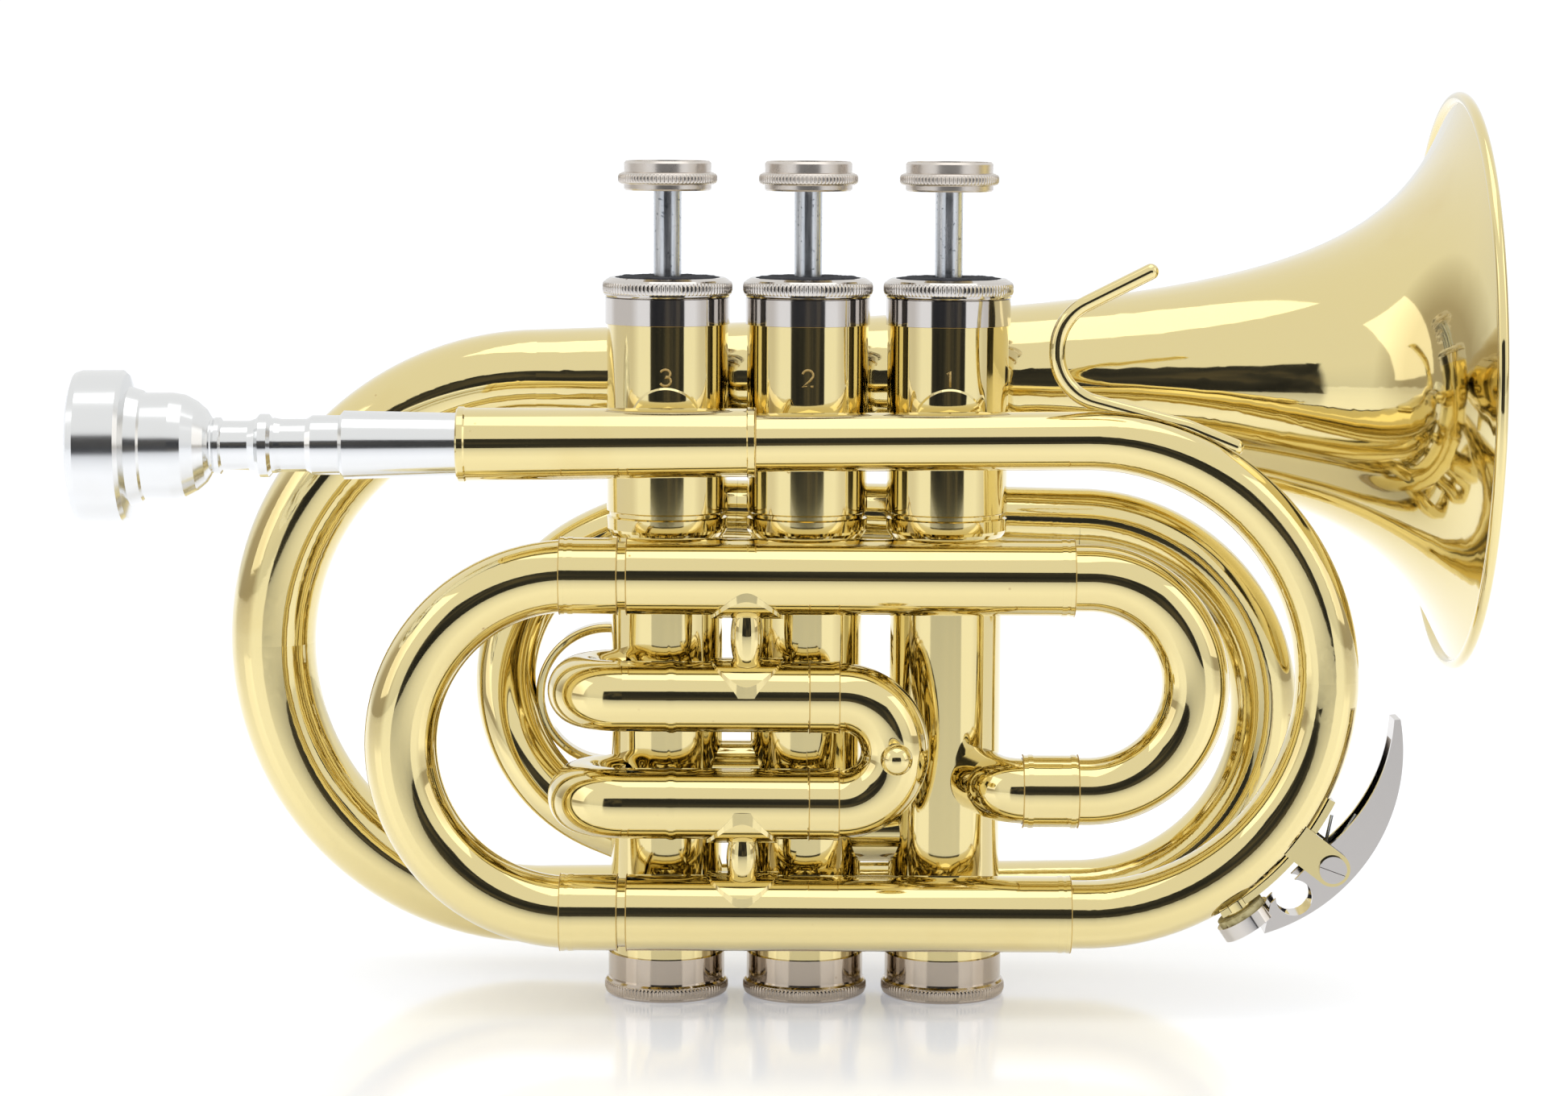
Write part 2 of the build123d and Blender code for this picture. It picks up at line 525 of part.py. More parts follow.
BELL_STEPS = (0, 2.5, 6, 11, 18, 28, 42, 62, 88, 120, RIM_X - BELL_END_X)
BELL_WALL = 0.6
TAIL_R = bell_radius(RIM_X - BELL_END_X)
with BuildPart() as bell:
    outer = [(RIM_X - step, BELL_Z + bell_radius(step)) for step in BELL_STEPS]
    inner = [(RIM_X - step, BELL_Z + bell_radius(step) - BELL_WALL) for step in BELL_STEPS]
    with BuildSketch(front_plane(BELL_Y)) as profile:
        with BuildLine():
            flare = Spline(*outer)
            bore = Spline(*inner)
            Line(flare @ 0, bore @ 0)
            Line(flare @ 1, bore @ 1)
        make_face()
        with Locations((RIM_X - 0.2, BELL_Z + RIM_R - 0.35)):
            Circle(1.05)
    revolve(profile.sketch, axis=Axis((0, BELL_Y, BELL_Z), (1, 0, 0)))
finish(bell, "bell")

BEND_Z = BELL_Z - BEND_R
LOW_LEFT_Z = BELL_Z - 2 * BEND_R
with BuildPart() as big_bend:
    with BuildLine(front_plane(BELL_Y)) as upper_path:
        CenterArc((BELL_END_X, BEND_Z), BEND_R, 90, 90)
    with BuildLine(front_plane(BELL_Y)) as lower_path:
        CenterArc((BELL_END_X, BEND_Z), BEND_R, 180, 90)
    pipe(upper_path.line, TAIL_R, 7.8, wall=WALL)
    pipe(lower_path.line, 7.8, 7.2, wall=WALL)
finish(big_bend, "bell_bend")

COIL_R = (COIL_TOP_Z - COIL_LOW_Z) / 2
TOP_RUN_END = (-12.8, BELL_Y, 85.2)


def cone_run(r_start, r_end, mode=Mode.ADD):
    """Tapered run from the bell bend to the right-hand bend of the coil."""
    with BuildSketch(Plane.YZ.offset(BELL_END_X)) as wide:
        with Locations((BELL_Y, LOW_LEFT_Z)):
            Circle(r_start)
    with BuildSketch(Plane.YZ.offset(COIL_X)) as narrow:
        with Locations((BELL_Y, COIL_LOW_Z)):
            Circle(r_end)
    loft([wide.sketch, narrow.sketch], mode=mode)


with BuildPart() as low_run:
    cone_run(7.2, 6.3)
    cone_run(7.2 - WALL, 6.3 - WALL, mode=Mode.SUBTRACT)
finish(low_run, "coil_lower_run")

with BuildPart() as coil:
    with BuildLine(front_plane(BELL_Y)) as right_path:
        CenterArc((COIL_X, (COIL_LOW_Z + COIL_TOP_Z) / 2), COIL_R, -90, 180)
    pipe(right_path.line, 6.3, 6.1)
finish(coil, "coil")

with BuildPart() as high_run:
    top_run = Line((COIL_X, BELL_Y, COIL_TOP_Z), TOP_RUN_END, mode=Mode.PRIVATE)
    pipe(top_run, 6.1, LOOP_TUBE_R)
    sweep(section(right_path.line, 1, 6.11), path=right_path.line, mode=Mode.SUBTRACT)
finish(high_run, "coil_upper_run")

LOOP_PLANE = Plane(origin=TOP_RUN_END, x_dir=(-1, 0, 0),
                   z_dir=(0, cos(radians(LOOP_TILT)), -sin(radians(LOOP_TILT))))
with BuildLine(LOOP_PLANE) as loop_path:
    drop = JernArc((0, 0), (1, 0.03), 53.5, -30)
    turn = JernArc(drop @ 1, drop % 1, LOOP_R, -130)
    Line(turn @ 1, turn @ 1 + (turn % 1) * 12)
with BuildPart() as loop:
    pipe(loop_path.line, LOOP_TUBE_R)
    cut_casings()
finish(loop, "coil_loop")

# ---------------------------------------------------------------- slides behind the casings
SLIDE_OUT_R = 6.2
SLIDE_IN_R = SLIDE_OUT_R - WALL - FIT
SHORT_END_Y = 26.0
SHORT_BEND_Y = 38.0
SHORT_BEND_R = (SHORT_SLIDE_Z[0] - SHORT_SLIDE_Z[1]) / 2


def side_plane(x):
    """Plane parallel to YZ at x: local x is +Y, local y is +Z."""
    return Plane.YZ.offset(x)


def tube_y(x, y0, y1, z, r_out, r_in):
    """Plain ring along Y."""
    with BuildSketch(front_plane(y0)) as ring:
        with Locations((x, z)):
            Circle(r_out)
            Circle(r_in, mode=Mode.SUBTRACT)
    extrude(ring.sketch, amount=y0 - y1)


with BuildPart() as short_tubes:
    for z in SHORT_SLIDE_Z:
        tube_y(0, 5.0, SHORT_END_Y, z, SLIDE_OUT_R, SLIDE_OUT_R - WALL)
    cut_casings()
finish(short_tubes, "short_slide_tubes")

with BuildPart() as short_crook:
    with BuildLine(side_plane(0)) as bow:
        CenterArc((SHORT_BEND_Y, sum(SHORT_SLIDE_Z) / 2), SHORT_BEND_R, 90, -180)
    pipe(bow.line, 5.9)
    for z in SHORT_SLIDE_Z:
        tube_y(0, SHORT_END_Y + 0.4, SHORT_BEND_Y, z, 5.9, 5.4)
        tube_y(0, SHORT_END_Y + 0.4, SHORT_END_Y + 5.4, z, SLIDE_OUT_R, SLIDE_IN_R - WALL)
        tube_y(0, 12.5, SHORT_END_Y + 1.0, z, SLIDE_IN_R, SLIDE_IN_R - WALL)
finish(short_crook, "short_slide_crook")

LONG_BEND_R = 12.0
LONG_END_X = -1.0
LONG_CROOK_X = -9.9
LONG_CROOK_R = (LONG_SLIDE_Z[0] - LONG_SLIDE_Z[1]) / 2
with BuildPart() as long_tubes:
    for z in LONG_SLIDE_Z:
        with BuildLine(Plane.XY.offset(z)) as route:
            run = Line((VALVES["1"], 5.0), (VALVES["1"], LONG_SLIDE_Y - LONG_BEND_R))
            corner = JernArc(run @ 1, run % 1, LONG_BEND_R, 90)
            Line(corner @ 1, (LONG_END_X, LONG_SLIDE_Y))
        pipe(route.line, SLIDE_OUT_R)
    cut_casings()
finish(long_tubes, "long_slide_tubes")

with BuildPart() as long_crook:
    with BuildLine(front_plane(LONG_SLIDE_Y)) as bow:
        CenterArc((LONG_CROOK_X, sum(LONG_SLIDE_Z) / 2), LONG_CROOK_R, 90, 180)
    pipe(bow.line, 5.9)
    for z in LONG_SLIDE_Z:
        sleeve_x(LONG_CROOK_X, LONG_END_X - 0.4, LONG_SLIDE_Y, z, 5.9, 5.4)
        sleeve_x(LONG_END_X - 6.0, LONG_END_X - 0.4, LONG_SLIDE_Y, z, SLIDE_OUT_R, SLIDE_IN_R - WALL)
        sleeve_x(LONG_END_X - 1.0, 11.5, LONG_SLIDE_Y, z, SLIDE_IN_R, SLIDE_IN_R - WALL)
finish(long_crook, "long_slide_crook")

BRACE_Z = 104.0             # flanged posts between the leadpipe and the outer casings
BRACE_X = (VALVES["3"], VALVES["1"])
BRACE_FLANGES = [casing_flange(x, BRACE_Z) for x in BRACE_X]
with BuildPart() as lead_core:
    turned_on_lead([(RECEIVER_X[0], 0), (RECEIVER_X[0], 6.62), (RECEIVER_X[1] + 0.1, 6.22),
                    (RECEIVER_X[1] + 0.1, 5.12), (LEAD_BEND_X - 1, 5.12), (LEAD_BEND_X - 1, 0)])
STANDOFF_R = 2.4
BELL_POST_X = (VALVES["2"], VALVES["3"])
COIL_POST_X = 30.0
COIL_STUB_Z = 81.0          # short post from the middle casing to the coil's upper run
STRUT_X = 4.0
STRUT_Z = 84.6
with BuildPart() as solder_posts:
    for x, z in ((25.0, MAIN_Z), (-25.0, MAIN_Z - 1.5), (25.0, BOTTOM_Z), (-25.0, BOTTOM_Z)):
        rod_y(x, -LOWER_R + 1, FRONT_Y, z, STANDOFF_R)
        rod_y(x, -LOWER_R + 1, -LOWER_R - 1, z, STANDOFF_R * 1.5)
    rod_y(VALVES["2"], LOWER_R - 1, BELL_Y, COIL_STUB_Z, 2.0)
    cut_casings(LOWER_R + 0.01)
    for x in BELL_POST_X:
        rod_y(x, LOWER_R - 1, BELL_Y, BELL_Z, STANDOFF_R)
        rod_z(x, 0, BELL_Z - 10, BELL_Z + 10, UPPER_R + 0.01, mode=Mode.SUBTRACT)
    rod_z(COIL_POST_X, BELL_Y, COIL_TOP_Z, BELL_Z, 2.2)
    strut = Vector(0, LONG_SLIDE_Y - BELL_Y, LONG_SLIDE_Z[0] - STRUT_Z)
    with BuildSketch(Plane(origin=(STRUT_X, BELL_Y, STRUT_Z), z_dir=strut)) as strut_section:
        Circle(1.8)
    extrude(strut_section.sketch, amount=strut.length)
    for z in (BOTTOM_Z, MAIN_Z):
        rod_x(-40, 50, FRONT_Y, z, MAIN_R + 0.01, mode=Mode.SUBTRACT)
    rod_x(-8, 40, BELL_Y, 84.1, 6.45, mode=Mode.SUBTRACT)
    rod_x(-5, 13, LONG_SLIDE_Y, LONG_SLIDE_Z[0], 6.25, mode=Mode.SUBTRACT)
    for x in (COIL_POST_X, *BELL_POST_X):
        rod_x(x - 4, x + 4, BELL_Y, BELL_Z, bell_radius(RIM_X - x - 4) + 0.02, mode=Mode.SUBTRACT)
    for flange in BRACE_FLANGES:
        add(flange)
    for x in BRACE_X:
        rod_y(x, -UPPER_R, FRONT_Y, LEAD_Z - 0.8, 2.6)
        rod_z(x, 0, BRACE_Z - 15, BRACE_Z + 15, UPPER_R + 0.01, mode=Mode.SUBTRACT)
    add(lead_core.part, mode=Mode.SUBTRACT)
finish(solder_posts, "solder_posts")

# ---------------------------------------------------------------- finger ring and hook
RING_R = 13.15
RING_X = -36.1
RING_Z = 52.3
RING_Y = 12.8
with BuildPart() as tube_core:
    sweep(section(loop_path.line, 0, LOOP_TUBE_R + 0.01), path=loop_path.line)

with BuildPart() as finger_ring:
    with BuildSketch(front_plane(RING_Y)) as band:
        with Locations((RING_X, RING_Z)):
            Circle(RING_R)
            Circle(RING_R - 1.6, mode=Mode.SUBTRACT)
    extrude(band.sketch, amount=2.2, both=True)
    fillet(finger_ring.edges(), 0.6)
    add(tube_core.part, mode=Mode.SUBTRACT)
finish(finger_ring, "finger_ring")

HOOK_R = 1.4
with BuildPart() as hook:
    with BuildLine(front_plane(FRONT_Y)) as bent_wire:
        FilletPolyline((59.2, 131.4), (43.2, 123.3), (43.2, 110.4), (66.0, 104.4), (74.5, 101.0),
                       radius=8.8)
    sweep(section(bent_wire.line, 0, HOOK_R), path=bent_wire.line)
    for end in (0, 1):
        with Locations(bent_wire.line @ end):
            Sphere(HOOK_R)
    with BuildLine(front_plane(FRONT_Y)) as lead_path:
        CenterArc((LEAD_BEND_X, (LEAD_Z + BOTTOM_Z) / 2), LEAD_BEND_R, 95, -95)
    sweep(section(lead_path.line, 0, 5.2), path=lead_path.line, mode=Mode.SUBTRACT)
    sweep(section(lead_path.line, 1, 5.61), path=lead_path.line, mode=Mode.SUBTRACT)
finish(hook, "finger_hook")

# ---------------------------------------------------------------- water key on the leadpipe bend
KEY_PIVOT = (92.2, 27.3)
KEY_CENTRE = (LEAD_BEND_X, (LEAD_Z + BOTTOM_Z) / 2)
KEY_TUBE_R = LEAD_BEND_R + 5.9
CUP_ANGLE = radians(-56.2)
CUP_DIR = Vector(cos(CUP_ANGLE), 0, sin(CUP_ANGLE))
EAR_ANGLE = radians(-37.5)
EAR_DIR = Vector(cos(EAR_ANGLE), 0, sin(EAR_ANGLE))
CUP_ORIGIN = Vector(KEY_CENTRE[0], FRONT_Y, KEY_CENTRE[1])


def cup_rod(r0, r1, radius, mode=Mode.ADD):
    """Bar along the spout's axis, between two distances from the bend's centre."""
    with BuildSketch(Plane(origin=CUP_ORIGIN + CUP_DIR * r0, z_dir=CUP_DIR)) as disc:
        Circle(radius)
    extrude(disc.sketch, amount=r1 - r0, mode=mode)


def cut_lead_bend(radius):
    """Take the lower half of the leadpipe bend out of a part soldered to it."""
    with BuildLine(front_plane(FRONT_Y)) as lead_path:
        CenterArc(KEY_CENTRE, LEAD_BEND_R, 10, -110)
    sweep(section(lead_path.line, 0, radius), path=lead_path.line, mode=Mode.SUBTRACT)


with BuildPart() as spout:
    cup_rod(46.5, 48.9, 2.9)
    cup_rod(40, 50, 1.9, mode=Mode.SUBTRACT)
    cut_lead_bend(5.9)

with BuildPart() as key_saddle:
    with BuildSketch(front_plane(FRONT_Y)) as rail:
        with BuildLine():
            low = CenterArc(KEY_CENTRE, KEY_TUBE_R - 0.6, -60, 34)
            high = CenterArc(KEY_CENTRE, KEY_TUBE_R + 0.6, -60, 34)
            Line(low @ 0, high @ 0)
            Line(low @ 1, high @ 1)
        make_face()
    extrude(rail.sketch, amount=2.6, both=True)
    with BuildSketch(Plane(origin=(KEY_PIVOT[0], FRONT_Y, KEY_PIVOT[1]), x_dir=EAR_DIR,
                           z_dir=(0, -1, 0))) as ear:
        Circle(3.1)
        with Locations((-4.6, 0)):
            Rectangle(9.2, 6.2)
        Circle(1.3, mode=Mode.SUBTRACT)
    extrude(ear.sketch, amount=4.3, both=True)
    with BuildSketch(front_plane(FRONT_Y)) as clear_disc:
        with Locations(KEY_CENTRE):
            Circle(70)
            Circle(KEY_TUBE_R + 0.6, mode=Mode.SUBTRACT)
    extrude(clear_disc.sketch, amount=3.4, both=True, mode=Mode.SUBTRACT)
    cut_lead_bend(5.9)
    cup_rod(40, 50.0, 3.0, mode=Mode.SUBTRACT)
    add(spout.part)
finish(key_saddle, "water_key_saddle")

with BuildPart() as lever:
    with BuildSketch(front_plane(FRONT_Y)) as cheek:
        with BuildLine():
            back = ThreePointArc((80.6, 15.6), (98.2, 28.3), (103.7, 53.7))
            tip = Line(back @ 1, (102.6, 53.6))
            inside = ThreePointArc(tip @ 1, (98.0, 38.6), (91.6, 31.2))
            neck = Line(inside @ 1, (81.6, 20.9))
            Line(neck @ 1, back @ 0)
        make_face()
        with Locations((85.7, 22.0)):
            Circle(3.2, mode=Mode.SUBTRACT)
    extrude(cheek.sketch, amount=3.1, both=True)
    with BuildSketch(front_plane(FRONT_Y)) as channel:
        with BuildLine():
            back = ThreePointArc((80.0, 17.0), (97.2, 29.0), (102.7, 50.0))
            Line(back @ 1, (92.0, 50.0))
            Line((92.0, 50.0), (80.0, 26.0))
            Line((80.0, 26.0), back @ 0)
        make_face()
    extrude(channel.sketch, amount=2.3, both=True, mode=Mode.SUBTRACT)
    rod_y(KEY_PIVOT[0], FRONT_Y - 3.1, FRONT_Y + 3.1, KEY_PIVOT[1], 1.8)
    cup_rod(50.0, 52.6, 5.1)
    cup_rod(49.0, 51.2, 4.5, mode=Mode.SUBTRACT)
    rod_y(KEY_PIVOT[0], -30, 0, KEY_PIVOT[1], 1.3, mode=Mode.SUBTRACT)
finish(lever, "water_key_lever")

with BuildPart() as cork:
    cup_rod(49.0, 51.2, 4.45)
finish(cork, "water_key_cork")

with BuildPart() as screw:
    rod_y(KEY_PIVOT[0], FRONT_Y - 4.3, FRONT_Y + 4.9, KEY_PIVOT[1], 1.25)
    rod_y(KEY_PIVOT[0], FRONT_Y - 5.2, FRONT_Y - 4.3, KEY_PIVOT[1], 2.4)
    with Locations(Location((KEY_PIVOT[0], FRONT_Y - 5.1, KEY_PIVOT[1]), (0, 20, 0))):
        Box(6, 0.7, 0.6, mode=Mode.SUBTRACT)
finish(screw, "water_key_screw")

KEY_COIL_R = 2.3
KEY_WIRE_R = 0.3
COIL_HALF_Y = 1.1
with BuildPart() as key_spring:
    winding = Helix(0.75, 2 * COIL_HALF_Y, KEY_COIL_R,
                    center=(KEY_PIVOT[0], FRONT_Y - COIL_HALF_Y, KEY_PIVOT[1]), direction=(0, 1, 0),
                    mode=Mode.PRIVATE)
    sweep(section(winding, 0, KEY_WIRE_R), path=winding, is_frenet=True)
    for end, far_x, far_z in ((0, 96.6, 36.5), (1, 92.6, 36.0)):
        start = winding @ end
        leg = Line(start, (far_x, start.Y, far_z), mode=Mode.PRIVATE)
        sweep(section(leg, 0, KEY_WIRE_R), path=leg)
finish(key_spring, "water_key_spring")
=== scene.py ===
"""Looks of the wrapped pocket cornet: lacquered brass, nickel and silver in a white light tent.

Metres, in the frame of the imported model: +X to the bell mouth, +Z up, leadpipe side towards -Y.
"""
import json
import math

import bmesh
import bpy
from mathutils import Matrix, Vector, noise


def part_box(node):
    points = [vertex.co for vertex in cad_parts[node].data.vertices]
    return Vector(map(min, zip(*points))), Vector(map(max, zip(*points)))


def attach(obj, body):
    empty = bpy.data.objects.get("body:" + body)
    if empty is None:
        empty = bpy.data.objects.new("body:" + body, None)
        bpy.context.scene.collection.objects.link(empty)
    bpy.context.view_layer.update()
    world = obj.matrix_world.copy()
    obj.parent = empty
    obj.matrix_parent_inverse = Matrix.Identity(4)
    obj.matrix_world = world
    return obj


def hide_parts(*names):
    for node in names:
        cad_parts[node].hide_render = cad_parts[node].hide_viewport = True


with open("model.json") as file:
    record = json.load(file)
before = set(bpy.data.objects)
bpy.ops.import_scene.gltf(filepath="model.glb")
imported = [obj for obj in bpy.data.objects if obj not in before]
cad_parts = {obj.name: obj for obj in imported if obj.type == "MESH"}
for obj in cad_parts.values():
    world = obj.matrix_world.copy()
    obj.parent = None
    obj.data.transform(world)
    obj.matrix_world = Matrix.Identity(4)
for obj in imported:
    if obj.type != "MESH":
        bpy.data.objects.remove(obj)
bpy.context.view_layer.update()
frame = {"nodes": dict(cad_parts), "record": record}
NODES = frame["nodes"]
MM = 0.001

VALVES = {"3": -25.0, "2": 0.0, "1": 25.0}     # stamped number: X of the valve axis, mm


# ---------------------------------------------------------------- shader helpers
class Shader:
    """One Principled material, built out of linked nodes."""

    def __init__(self, name):
        self.material = bpy.data.materials.new(name)
        self.material.use_nodes = True
        self.tree = self.material.node_tree
        self.principled = self.tree.nodes["Principled BSDF"]
        self.coords = self.node("ShaderNodeTexCoord").outputs["Object"]

    def node(self, kind, **settings):
        made = self.tree.nodes.new(kind)
        for key, value in settings.items():
            setattr(made, key, value)
        return made

    def link(self, source, target):
        self.tree.links.new(source, target)

    def set(self, **values):
        for key, value in values.items():
            self.principled.inputs[key.replace("_", " ")].default_value = value

    def stretched(self, scale):
        """Object coordinates multiplied by a vector."""
        mapping = self.node("ShaderNodeMapping")
        mapping.inputs["Scale"].default_value = scale
        self.link(self.coords, mapping.inputs["Vector"])
        return mapping.outputs["Vector"]

    def noise(self, scale, detail=2.0, roughness=0.5, vector=None):
        made = self.node("ShaderNodeTexNoise")
        made.inputs["Scale"].default_value = scale
        made.inputs["Detail"].default_value = detail
        made.inputs["Roughness"].default_value = roughness
        self.link(vector or self.coords, made.inputs["Vector"])
        return made.outputs["Fac"]

    def spots(self, scale, vector=None):
        made = self.node("ShaderNodeTexVoronoi")
        made.inputs["Scale"].default_value = scale
        self.link(vector or self.coords, made.inputs["Vector"])
        return made.outputs["Distance"]

    def remap(self, value, low, high, to_low=0.0, to_high=1.0):
        made = self.node("ShaderNodeMapRange")
        made.inputs["From Min"].default_value = low
        made.inputs["From Max"].default_value = high
        made.inputs["To Min"].default_value = to_low
        made.inputs["To Max"].default_value = to_high
        self.link(value, made.inputs["Value"])
        return made.outputs["Result"]

    def ramp(self, value, *stops):
        made = self.node("ShaderNodeValToRGB")
        elements = made.color_ramp.elements
        while len(elements) < len(stops):
            elements.new(0.5)
        for element, (place, color) in zip(elements, stops):
            element.position = place
            element.color = (*color, 1.0)
        self.link(value, made.inputs["Fac"])
        return made.outputs["Color"]

    def mix(self, factor, first, second):
        """Colour mix; first and second are sockets or plain colours."""
        made = self.node("ShaderNodeMix", data_type="RGBA")
        self.link(factor, made.inputs["Factor"])
        for socket, value in ((made.inputs["A"], first), (made.inputs["B"], second)):
            if isinstance(value, tuple):
                socket.default_value = (*value, 1.0)
            else:
                self.link(value, socket)
        return made.outputs["Result"]

    def multiply(self, first, second):
        made = self.node("ShaderNodeMath", operation="MULTIPLY")
        self.link(first, made.inputs[0])
        self.link(second, made.inputs[1])
        return made.outputs["Value"]

    def bump(self, height, strength, distance, before=None):
        made = self.node("ShaderNodeBump")
        made.inputs["Strength"].default_value = strength
        made.inputs["Distance"].default_value = distance
        self.link(height, made.inputs["Height"])
        if before:
            self.link(before, made.inputs["Normal"])
        return made.outputs["Normal"]

    def surface(self, color=None, roughness=None, normal=None):
        for source, key in ((color, "Base Color"), (roughness, "Roughness"), (normal, "Normal")):
            if source is not None:
                self.link(source, self.principled.inputs[key])
        return self.material


def polished_metal(name, clean, worn, specks, rough=(0.03, 0.09), coat=0.0, wear=0.5):
    """Mirror-polished metal with faint handling marks, soft clouding and scattered specks."""
    made = Shader(name)
    made.set(Metallic=1.0, Coat_Weight=coat, Coat_Roughness=0.02, Coat_IOR=1.62)
    clouds = made.noise(38.0, 3.0, 0.55)
    fine = made.noise(420.0, 4.0, 0.6)
    dots = made.remap(made.spots(310.0), 0.03, 0.10, 1.0, 0.0)
    sparse = made.remap(made.noise(95.0, 1.0), 0.60, 0.70)
    color = made.ramp(clouds, (0.30, clean), (0.62, clean), (0.85, worn))
    color = made.mix(made.multiply(dots, sparse), color, specks)
    scratches = made.noise(900.0, 2.0, 0.5, made.stretched((1.0, 0.08, 0.16)))
    roughness = made.remap(clouds, 0.25, 0.80, rough[0], rough[1])
    normal = made.bump(scratches, 0.035 * wear, 0.00005)
    normal = made.bump(fine, 0.02 * wear, 0.00008, normal)
    return made.surface(color, roughness, normal)


def brass():
    return polished_metal("lacquered_brass", (0.785, 0.655, 0.295), (0.750, 0.595, 0.235),
                          (0.46, 0.27, 0.08), rough=(0.035, 0.085), coat=1.0)


def solder_brass():
    """The dull, browner brass of soldered seams and the inside of joints."""
    return polished_metal("seam_brass", (0.62, 0.44, 0.15), (0.40, 0.25, 0.08), (0.22, 0.12, 0.04),
                          rough=(0.22, 0.42), wear=2.0)


def nickel():
    return polished_metal("nickel_plate", (0.52, 0.445, 0.365), (0.43, 0.355, 0.275), (0.22, 0.16, 0.11),
                          rough=(0.06, 0.14))


def bright_nickel():
    return polished_metal("bright_nickel", (0.66, 0.625, 0.59), (0.55, 0.51, 0.46), (0.30, 0.25, 0.20),
                          rough=(0.05, 0.12))


def satin_nickel():
    return polished_metal("satin_nickel", (0.66, 0.61, 0.56), (0.56, 0.50, 0.43), (0.30, 0.25, 0.19),
                          rough=(0.20, 0.34))


def silver():
    return polished_metal("silver_plate", (0.80, 0.808, 0.812), (0.77, 0.768, 0.755), (0.58, 0.56, 0.51),
                          rough=(0.12, 0.21))


def drawn_steel(name, streak_scale):
    """Satin metal with marks along its length, pitted here and there."""
    made = Shader(name)
    made.set(Metallic=1.0)
    streaks = made.noise(1.0, 4.0, 0.65, made.stretched(streak_scale))
    pits = made.remap(made.noise(1500.0, 2.0), 0.62, 0.72)
    color = made.ramp(streaks, (0.25, (0.40, 0.43, 0.47)), (0.75, (0.78, 0.80, 0.83)))
    color = made.mix(pits, color, (0.24, 0.26, 0.29))
    roughness = made.remap(streaks, 0.2, 0.8, 0.14, 0.32)
    return made.surface(color, roughness, made.bump(streaks, 0.15, 0.00004))


def felt():
    """Matted dark wool."""
    made = Shader("dark_felt")
    made.set(Specular_IOR_Level=0.05, Sheen_Weight=0.12, Sheen_Roughness=0.7)
    fibres = made.noise(2600.0, 5.0, 0.75)
    tufts = made.noise(700.0, 3.0, 0.6)
    color = made.ramp(fibres, (0.3, (0.006, 0.007, 0.011)), (0.55, (0.016, 0.018, 0.028)),
                      (0.8, (0.055, 0.060, 0.080)))
    roughness = made.remap(fibres, 0.2, 0.8, 0.85, 1.0)
    normal = made.bump(tufts, 0.9, 0.0004)
    return made.surface(color, roughness, made.bump(fibres, 0.8, 0.00015, normal))


def pearl():
    made = Shader("pearl")
    made.set(Coat_Weight=0.8, Coat_Roughness=0.03, Specular_IOR_Level=0.6)
    layers = made.noise(300.0, 3.0, 0.6, made.stretched((1.0, 2.4, 1.0)))
    color = made.ramp(layers, (0.3, (0.86, 0.83, 0.80)), (0.5, (0.93, 0.93, 0.90)),
                      (0.62, (0.84, 0.89, 0.90)), (0.78, (0.95, 0.88, 0.87)))
    return made.surface(color, made.remap(layers, 0.3, 0.7, 0.10, 0.24), made.bump(layers, 0.2, 0.0001))


def moulded_plastic():
    made = Shader("white_plastic")
    grain = made.noise(900.0, 3.0)
    color = made.ramp(grain, (0.3, (0.82, 0.80, 0.74)), (0.7, (0.90, 0.89, 0.85)))
    return made.surface(color, made.remap(grain, 0.3, 0.7, 0.38, 0.5), made.bump(grain, 0.2, 0.0001))


def cork():
    """Pressed cork: pale cells, dark pores."""
    made = Shader("cork")
    made.set(Specular_IOR_Level=0.2)
    cells = made.spots(900.0)
    pores = made.remap(made.noise(1300.0, 3.0, 0.7), 0.58, 0.70)
    color = made.ramp(cells, (0.0, (0.30, 0.25, 0.11)), (0.35, (0.48, 0.41, 0.20)),
                      (0.8, (0.60, 0.53, 0.29)))
    color = made.mix(pores, color, (0.16, 0.11, 0.05))
    return made.surface(color, made.remap(cells, 0.0, 0.8, 0.75, 0.92), made.bump(cells, 0.6, 0.0002))


def stamped():
    """The bottom of a stamped figure: bare matt brass that the lacquer has pooled in, coloured darker partly
    as painted shade of the stamped groove, which is only a flat strip here.
    """
    made = Shader("stamped_groove_and_shade")
    made.set(Metallic=1.0)
    grain = made.noise(2500.0, 3.0)
    color = made.ramp(grain, (0.35, (0.46, 0.32, 0.12)), (0.7, (0.78, 0.58, 0.25)))
    return made.surface(color, made.remap(grain, 0.3, 0.7, 0.45, 0.65))


BRASS = brass()
SEAM = solder_brass()
NICKEL = nickel()
BRIGHT_NICKEL = bright_nickel()
SATIN_NICKEL = satin_nickel()
SILVER = silver()
STEM = drawn_steel("stem_steel", (900.0, 900.0, 60.0))
WIRE = drawn_steel("spring_steel", (700.0, 700.0, 700.0))
LAPPED = drawn_steel("piston_metal", (160.0, 160.0, 2600.0))
FELT = felt()
PEARL = pearl()
PLASTIC = moulded_plastic()
CORK = cork()
# Stamped figures: matt brass, darkened partly by painted shade of the groove.
STAMPED_MATT_AND_SHADE = stamped()

SLOT_MATERIALS = {
    "lacquered_brass": BRASS, "nickel_plate": NICKEL, "silver_plate": SILVER, "stem_steel": STEM,
    "piston_metal": LAPPED, "spring_steel": WIRE, "dark_felt": FELT, "white_plastic": PLASTIC,
    "pearl": PEARL, "cork": CORK,
}
BRIGHT_NODES = ("casing_sleeves", "top_cap_1", "top_cap_2", "top_cap_3", "water_key_lever",
                "water_key_screw")
SATIN_NODES = ("finger_button_1", "finger_button_2", "finger_button_3")

